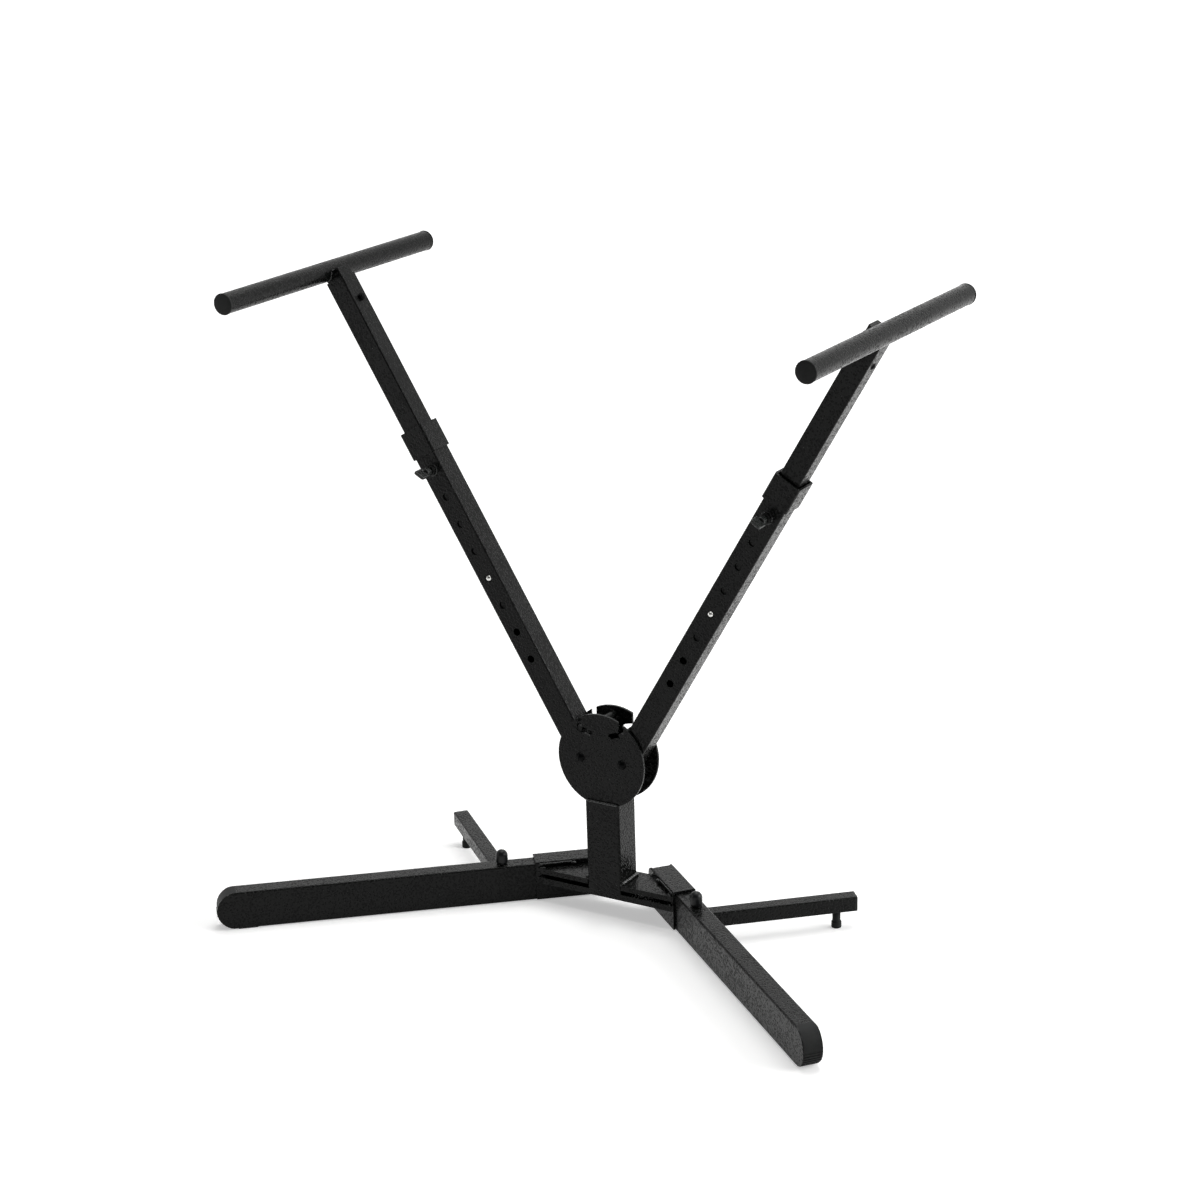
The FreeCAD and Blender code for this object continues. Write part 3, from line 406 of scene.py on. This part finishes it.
def weld_seam(name, points, thickness_mm, puddle_mm, body):
    """A seam along points, which are places on the stand in metres."""
    sides = 12
    thickness, puddle = thickness_mm * MM, puddle_mm * MM
    places = [Vector(p) for p in points]
    lengths = [(b - a).length for a, b in zip(places, places[1:])]
    total = sum(lengths)
    steps = max(8, int(total / puddle * 6))
    shape = bmesh.new()
    rings = []
    for i in range(steps + 1):
        at = total * i / steps
        part, left = 0, at
        while part < len(lengths) - 1 and left > lengths[part]:
            left -= lengths[part]
            part += 1
        along = (places[part + 1] - places[part]).normalized()
        middle = places[part] + along * left
        across = along.cross(Vector((0, 0, 1)))
        if across.length <= 0.1:
            across = along.cross(Vector((1, 0, 0)))
        across.normalize()
        over = across.cross(along)
        ends = min(1, math.sqrt(max(0.04, min(at, total - at) / (1.2 * thickness))))
        ring = []
        for k in range(sides):
            turn = math.tau * k / sides
            lag = 0.35 * puddle * (1 - math.cos(turn))
            wave = (at - lag) / puddle
            swell = 0.80 + 0.26 * abs(math.sin(math.pi * wave))
            swell += 0.07 * math.sin(2.3 * wave + 5 * middle.x / MM)
            radius = thickness * swell * ends
            spot = middle + (over * math.cos(turn) + across * math.sin(turn)) * radius
            ring.append(shape.verts.new(spot / MM))
        rings.append(ring)
    for near, far in zip(rings, rings[1:]):
        for k in range(sides):
            k2 = (k + 1) % sides
            shape.faces.new((near[k], near[k2], far[k2], far[k]))
    shape.faces.new(rings[0][::-1])
    shape.faces.new(rings[-1])
    bmesh.ops.recalc_face_normals(shape, faces=shape.faces)
    add_piece(name, shape, Matrix.Identity(4), coat_seam, body)


post_half_x, post_half_y = 24.5 * MM, 21 * MM
post_top, plate_top = 156 * MM, 47 * MM
for name, way in (("front", -1), ("rear", 1)):
    y = post_y + way * (post_half_y - 0.3 * MM)
    weld_seam("disc_weld_" + name, [(x * MM, y, post_top + 0.7 * MM) for x in (-23, -8, 8, 23)],
              1.7, 5.2, "base")
    print("disc seam at Y", round(y, 4))
foot_seam_mm = ((-1.0, -21.5, 0.4), (0, -17, 1.2), (1.4, 0, 1.8), (0.8, 17, 1.2), (-2.5, 22, 0.6))
for name, side in SIDES:
    x = side * (post_half_x + 0.8 * MM)
    foot_seam = [(x + side * out * MM, post_y + back * MM, plate_top + high * MM)
                 for out, back, high in foot_seam_mm]
    weld_seam("post_foot_weld_" + name, foot_seam, 3.1, 5.4, "base")
    for level, z in (("upper", 46.4), ("lower", 33.4)):
        tip = in_frame(leg_frame(side), ((132, -17.2, z), (137, -17.0, z), (141, -16.4, z)))
        weld_seam("plate_tip_weld_" + level + "_" + name, tip, 1.9, 4.0, "base")
    seam = in_frame(leg_frame(side), ((97, -15.5, 51.2), (108, -15.5, 51.7), (120, -15.5, 51.2),
                                      (132, -15.5, 51.6), (142, -15.5, 51.2)))
    weld_seam("bracket_weld_" + name, seam, 1.3, 4.4, "base")
    tack = in_frame(leg_frame(side), ((92.5, -16.4, 50.2), (96.0, -16.9, 50.2), (99.5, -16.2, 50.2)))
    weld_seam("bracket_tack_" + name, tack, 2.3, 4.2, "base")

# %% [markdown]
# On each arm the threaded boss has a ring of weld, the stop rod a run on each side, and
# the round support tube sits in a saddle-shaped run where it crosses its square stub.

# %% Weld seams on the arms
stop_rod_offset = 19.55
stop_rod_up = stop_rod_offset / math.tan(arm_lean)
clamp_up = 404
support_out, support_up = 10.5, 682
boss_weld_radius, saddle_radius = 7.4, 12.9


def arc(middle_x, y, middle_z, radius, degrees):
    """Points in millimetres on a circle across the Y axis, at each of the angles."""
    turns = [math.radians(d) for d in degrees]
    return [(middle_x + radius * math.cos(t), y, middle_z + radius * math.sin(t)) for t in turns]


for name, side in SIDES:
    axes = arm_frame(side)
    ring = in_frame(axes, arc(0, -16.3, clamp_up, boss_weld_radius, range(0, 361, 15)))
    weld_seam("boss_weld_" + name, ring, 1.1, 3.4, name + "_lower_arm")
    for level, dz in (("upper", 2.8), ("lower", -2.8)):
        run = in_frame(axes, [(-16.5, y, stop_rod_up + dz) for y in (-13, 0, 13)])
        weld_seam("stop_weld_" + level + "_" + name, run, 0.9, 2.8, name + "_lower_arm")
    for end, y in (("front", -12.5), ("rear", 12.5)):
        saddle = in_frame(axes, arc(support_out, y, support_up, saddle_radius,
                                    (-84, -95, -110, -125, -140, -150, -159)))
        weld_seam("saddle_weld_" + end + "_" + name, saddle, 1.2, 3.4, name + "_riser")
    for level, x, z in (("inner", -1.9, 678.2), ("outer", 12.5, 669.2)):
        run = in_frame(axes, [(x, y, z) for y in (-11, 0, 11)])
        weld_seam("stub_weld_" + level + "_" + name, run, 1.2, 3.4, name + "_riser")

# %% [markdown]
# Turned and moulded round pieces are made the way a lathe makes them: half of the outline
# is drawn as radius and height, then spun round the axis. A second function may press
# flutes or threads into it by changing the radius with the angle and the height.

# %% Round pieces


def turned(outline, sides=48, press=None):
    """Spins an outline of (radius, height) pairs, in millimetres, round the Z axis."""
    shape = bmesh.new()
    rings = []
    for radius, height in outline:
        if radius < 0.01:
            rings.append([shape.verts.new((0, 0, height))])
            continue
        ring = []
        for k in range(sides):
            turn = math.tau * k / sides
            r = press(radius, height, turn) if press else radius
            ring.append(shape.verts.new((r * math.cos(turn), r * math.sin(turn), height)))
        rings.append(ring)
    for low, high in zip(rings, rings[1:]):
        for k in range(sides):
            k2 = (k + 1) % sides
            corners = [low[k % len(low)], low[k2 % len(low)], high[k2 % len(high)], high[k % len(high)]]
            shape.faces.new(list(dict.fromkeys(corners)))
    return shape


def rounded(points, radius, steps=4):
    """An outline whose corners, except its ends, are rounded to a radius."""
    result = [points[0]]
    for before, corner, after in zip(points, points[1:], points[2:]):
        a, c, b = Vector(before), Vector(corner), Vector(after)
        reach = min(radius, (a - c).length * 0.45, (b - c).length * 0.45)
        start, end = c + (a - c).normalized() * reach, c + (b - c).normalized() * reach
        for i in range(steps + 1):
            t = i / steps
            spot = start * (1 - t) ** 2 + c * 2 * t * (1 - t) + end * t ** 2
            result.append((spot.x, spot.y))
    return result + [points[-1]]


print("a rounded outline of 3 corners has", len(rounded([(0, 0), (5, 0), (5, 5)], 1)), "points")

# %% [markdown]
# The clamp knobs are moulded domes with a waist above the washer. A faint parting
# ring runs round where the two halves of the mould met, and shallow flutes below it give
# the fingers a grip. The real one has a threaded insert that never shows.

# %% Clamp knobs
knob_radius, dome_start, knob_seat = 7.8, 11.7, 51.1
knob_outline = rounded([(0, 0.4), (7.0, 0.4), (7.0, 2.4), (knob_radius, 3.4), (knob_radius, 10.8),
                        (7.95, 11.2), (knob_radius, 11.6)], 0.5)
knob_outline += [(x, z) for x, y, z in arc(0, 0, dome_start, knob_radius, range(6, 90, 7))]
knob_outline.append((0, dome_start + knob_radius))


def knob_flutes(radius, height, turn):
    """Twelve shallow hollows in the straight part of the knob."""
    if height <= 2.5:
        return radius
    share = max(0.0, 1 - abs(height - 7.0) / 4.2)
    return radius - 0.55 * share * max(0.0, math.cos(12 * turn)) ** 2


for name, side in SIDES:
    place = leg_frame(side) @ Matrix.Translation((rear_pivot_u, 0, knob_seat * MM))
    add_piece("moulded_knob_" + name, turned(knob_outline, 96, knob_flutes), place, abs_black,
              name + "_knob", [name + "_clamp_knob"])
print("knob height", knob_outline[-1][1], "mm")

# %% [markdown]
# The thumb screws have one flat wing across a short round hub. Both faces of the wing are
# dished for the thumb, inside a raised rim. The wing is made of rings that follow its
# outline, each with its own inset and height, and a subdivision surface rounds it off.

# %% Thumb screws
half_wide, near_end, far_end, corner = 7.6, -29.0, -46.0, 2.4
inner_x = half_wide - corner
wing_outline = []
for x, y, first in ((inner_x, near_end - corner, 0), (-inner_x, near_end - corner, 90),
                    (-inner_x, far_end + corner, 180), (inner_x, far_end + corner, 270)):
    for turn in (math.radians(first + d) for d in (0, 30, 60, 90)):
        wing_outline.append((x + corner * math.cos(turn), y + corner * math.sin(turn)))


def flat_wing(shape):
    """The dished wing: rings of (inset, height) from one face round the rim to the other."""
    middle_y = (near_end + far_end) / 2
    rings = []
    one_face = ((4.6, 1.0), (2.3, 1.1), (1.7, 1.9), (1.0, 2.1), (0.3, 1.8), (0.0, 1.0))
    other_face = [(inset, -height) for inset, height in reversed(one_face)]
    for inset, height in (*one_face, *other_face):
        shrink_x = 1 - inset / half_wide
        shrink_y = 1 - inset / (near_end - middle_y)
        rings.append([shape.verts.new((x * shrink_x, middle_y + (y - middle_y) * shrink_y, height))
                      for x, y in wing_outline])
    count = len(wing_outline)
    for first, second in zip(rings, rings[1:]):
        for k in range(count):
            shape.faces.new((first[k], first[(k + 1) % count], second[(k + 1) % count], second[k]))
    shape.faces.new(rings[0])
    shape.faces.new(rings[-1][::-1])


def thumb_screw():
    """Hub, threaded shank and wing. The screw's axis is Y and it points to +Y."""
    hub = [(0, 31.6)] + rounded([(3.6, 31.6), (5.0, 30.9), (5.0, 23.5), (4.3, 23.0)], 0.7)
    hub.append((3.0, 23.0))
    thread = [(2.55 if i % 2 else 3.0, 22.8 - 0.5 * i) for i in range(16)]
    shape = turned(hub + thread + [(2.2, 14.4), (0, 14.3)], 32)
    bmesh.ops.rotate(shape, matrix=Matrix.Rotation(math.radians(90), 3, "X"), verts=shape.verts)
    flat_wing(shape)
    bmesh.ops.recalc_face_normals(shape, faces=shape.faces)
    return shape


wing_turn = {"right": math.radians(6), "left": math.radians(121)}
for name, side in SIDES:
    seat = arm_frame(side) @ Matrix.Translation((0, 0, clamp_up * MM))
    add_piece("thumb_screw_" + name, thumb_screw(), seat @ Matrix.Rotation(wing_turn[name], 4, "Y"),
              coat_glossy, name + "_wing", [name + "_wing_screw"], rounding=1)
print("wing outline corners", len(wing_outline))

# %% [markdown]
# The support tubes are closed with moulded caps: a slightly domed face, a rounded rim and
# a narrow groove where the rim meets the tube. The spigot that holds the cap is inside.

# %% Support tube caps
cap_outline = [(0, 3.0), (4.5, 2.95), (9.0, 2.8), (11.2, 2.55)]
cap_outline += rounded([(11.6, 2.5), (12.9, 2.2), (13.2, 1.0), (13.2, 0.45), (12.4, 0.4), (12.4, 0.0),
                        (11.1, 0.0)], 0.5)
cap_outline += [(11.0, -0.1), (11.0, -13.0), (10.2, -14.0), (0, -14.0)]
tube_end = 210
for name, side in SIDES:
    both = bmesh.new()
    for way in (-1, 1):
        single = turned(cap_outline[::-1], 64)
        end = Matrix.Translation((support_out, way * tube_end, support_up))
        bmesh.ops.transform(single, matrix=end @ Matrix.Rotation(math.radians(-90 * way), 4, "X"),
                            verts=single.verts)
        spare = bpy.data.meshes.new("spare")
        single.to_mesh(spare)
        single.free()
        both.from_mesh(spare)
        bpy.data.meshes.remove(spare)
    bmesh.ops.recalc_face_normals(both, faces=both.faces)
    add_piece("moulded_caps_" + name, both, arm_frame(side), rubber, name + "_riser",
              [name + "_support_caps"])
print("cap outline points", len(cap_outline))

# %% [markdown]
# Each rear leg ends in a small levelling foot: a rubber pad with two grip rings, a
# narrower neck and the threaded stud that goes up into the leg.

# %% Rear feet
foot_along = 181 * MM
foot_outline = [(0, 0), (5.4, 0)]
foot_outline += rounded([(5.6, 0.0), (6.5, 0.5), (6.5, 3.2), (6.1, 3.6), (6.5, 4.0), (6.5, 6.0),
                         (6.1, 6.4), (6.5, 6.8), (6.5, 8.4), (5.2, 9.2), (5.2, 22.0)], 0.4, 3)
foot_outline += [(4.8, 22.5), (3.1, 22.7)]
foot_outline += [(2.6 if i % 2 else 3.0, 23.2 + 0.5 * i) for i in range(30)]
foot_outline += [(2.4, 38.3), (0, 38.7)]
for name, side in SIDES:
    place = rear_leg_frame(side) @ Matrix.Translation((foot_along, 0, 0))
    add_piece("levelling_foot_" + name, turned(foot_outline, 48), place, rubber,
              name + "_foot", [name + "_rear_foot"])
print("foot is", foot_outline[-1][1], "mm high")

# %% [markdown]
# The floor is one pale sheet that runs back and curves up as a backdrop, the way a studio
# paper roll hangs. To the camera and in reflections it is plain white, with a soft shadow
# under the stand. The lamps don't reach the far end, so it is lifted more there.

# %% Floor and backdrop


def background_rays(tree):
    """The Light Path node, and a socket that is 1 for rays that show the background."""
    path = add_node(tree, "ShaderNodeLightPath")
    direct = add_node(tree, "ShaderNodeMath", {"operation": "MAXIMUM"}, {},
                      {0: path.outputs["Is Camera Ray"], 1: path.outputs["Is Glossy Ray"]})
    direct_or_through = add_node(tree, "ShaderNodeMath", {"operation": "MAXIMUM"}, {},
                                 {0: direct.outputs[0], 1: path.outputs["Is Transmission Ray"]})
    return path, direct_or_through.outputs[0]


floor_mesh = bpy.data.meshes.new("paper_floor")
sheet = bmesh.new()
front_end, bend_start, bend_radius, half_width = -7, 5, 2, 9
profile = [(front_end, 0), (bend_start, 0)]
for turn in (math.radians(a) for a in range(5, 91, 5)):
    profile.append((bend_start + bend_radius * math.sin(turn), bend_radius - bend_radius * math.cos(turn)))
profile.append((bend_start + bend_radius, 7))
rows = [[sheet.verts.new((x, y, z)) for x in (-half_width, half_width)] for y, z in profile]
for near, far in zip(rows, rows[1:]):
    sheet.faces.new((near[0], near[1], far[1], far[0]))
sheet.to_mesh(floor_mesh)
sheet.free()
floor = bpy.data.objects.new("paper_floor", floor_mesh)
bpy.context.scene.collection.objects.link(floor)
for face in floor_mesh.polygons:
    face.use_smooth = True
paper, tree, shader, metres = new_material("studio paper")
fibre = add_node(tree, "ShaderNodeTexNoise", {}, {"Scale": 400, "Detail": 2}, {"Vector": metres})
paper_tint = add_node(tree, "ShaderNodeMix", {"data_type": "RGBA"},
                      {"A": hex_colour("#e9e9e8"), "B": hex_colour("#f0f0ef")},
                      {"Factor": fibre.outputs["Fac"]})
tree.links.new(paper_tint.outputs["Result"], shader.inputs["Base Color"])
shader.inputs["Roughness"].default_value = 0.9
shader.inputs["Specular IOR Level"].default_value = 0.1
shader.inputs["Emission Color"].default_value = (1, 1, 1, 1)
path, shows_background = background_rays(tree)
distance = add_node(tree, "ShaderNodeVectorMath", {"operation": "LENGTH"}, {}, {0: metres})
missing_light = add_node(tree, "ShaderNodeMapRange", {"interpolation_type": "SMOOTHSTEP"},
                         {"From Min": 0.6, "From Max": 4.5, "To Min": 0.42, "To Max": 1.0},
                         {"Value": distance.outputs["Value"]})
lift = add_node(tree, "ShaderNodeMath", {"operation": "MULTIPLY"}, {},
                {0: shows_background, 1: missing_light.outputs["Result"]})
tree.links.new(lift.outputs[0], shader.inputs["Emission Strength"])
floor_mesh.materials.append(paper)
print("floor", [round(v, 1) for v in floor.dimensions])

# %% [markdown]
# Plain soft studio light: one large softbox on the right and a little to the back, one
# overhead, and a small lamp at the left front for the glints. The room is pale behind the
# stand and darker where the photographer stands, but the camera sees it white all round.

# %% Lights and room


def softbox(name, place, aim, width, height, watts):
    """A rectangular area light at place that shines towards aim."""
    data = bpy.data.lights.new(name, "AREA")
    data.shape = "RECTANGLE"
    data.size, data.size_y = width, height
    data.energy = watts
    lamp = bpy.data.objects.new(name, data)
    bpy.context.scene.collection.objects.link(lamp)
    lamp.location = place
    lamp.rotation_euler = (Vector(aim) - Vector(place)).to_track_quat("-Z", "Y").to_euler()


softbox("softbox right", (3.2, 1.0, 1.6), (0, 0, 0.4), 2.2, 2.2, 110)
softbox("softbox top", (0, 0.8, 3.4), (0, 0, 0), 2.6, 2.6, 80)
softbox("small lamp left", (-2.5, -2.6, 1.45), (0, 0, 0.4), 0.45, 0.45, 14)
room = bpy.data.worlds.new("pale room")
room.use_nodes = True
bpy.context.scene.world = room
tree = room.node_tree
background = tree.nodes["Background"]
path, shows_background = background_rays(tree)
way = add_node(tree, "ShaderNodeTexCoord")
split = add_node(tree, "ShaderNodeSeparateXYZ", {}, {}, {"Vector": way.outputs["Generated"]})
behind = add_node(tree, "ShaderNodeMapRange", {"interpolation_type": "SMOOTHSTEP"},
                  {"From Min": -0.6, "From Max": 0.2, "To Min": 0.15}, {"Value": split.outputs["Y"]})
room_level = add_node(tree, "ShaderNodeMapRange", {}, {"To Min": 0.3}, {"Value": shows_background})
room_light = add_node(tree, "ShaderNodeMath", {"operation": "MULTIPLY"}, {},
                      {0: room_level.outputs["Result"], 1: behind.outputs["Result"]})
plain_view = add_node(tree, "ShaderNodeMath", {"operation": "MAXIMUM"}, {},
                      {0: path.outputs["Is Camera Ray"], 1: path.outputs["Is Transmission Ray"]})
room_seen = add_node(tree, "ShaderNodeMath", {"operation": "MAXIMUM"}, {},
                     {0: room_light.outputs[0], 1: plain_view.outputs[0]})
tree.links.new(room_seen.outputs[0], background.inputs["Strength"])
background.inputs["Color"].default_value = (1, 1, 1, 1)
bpy.context.scene.view_settings.view_transform = "Standard"
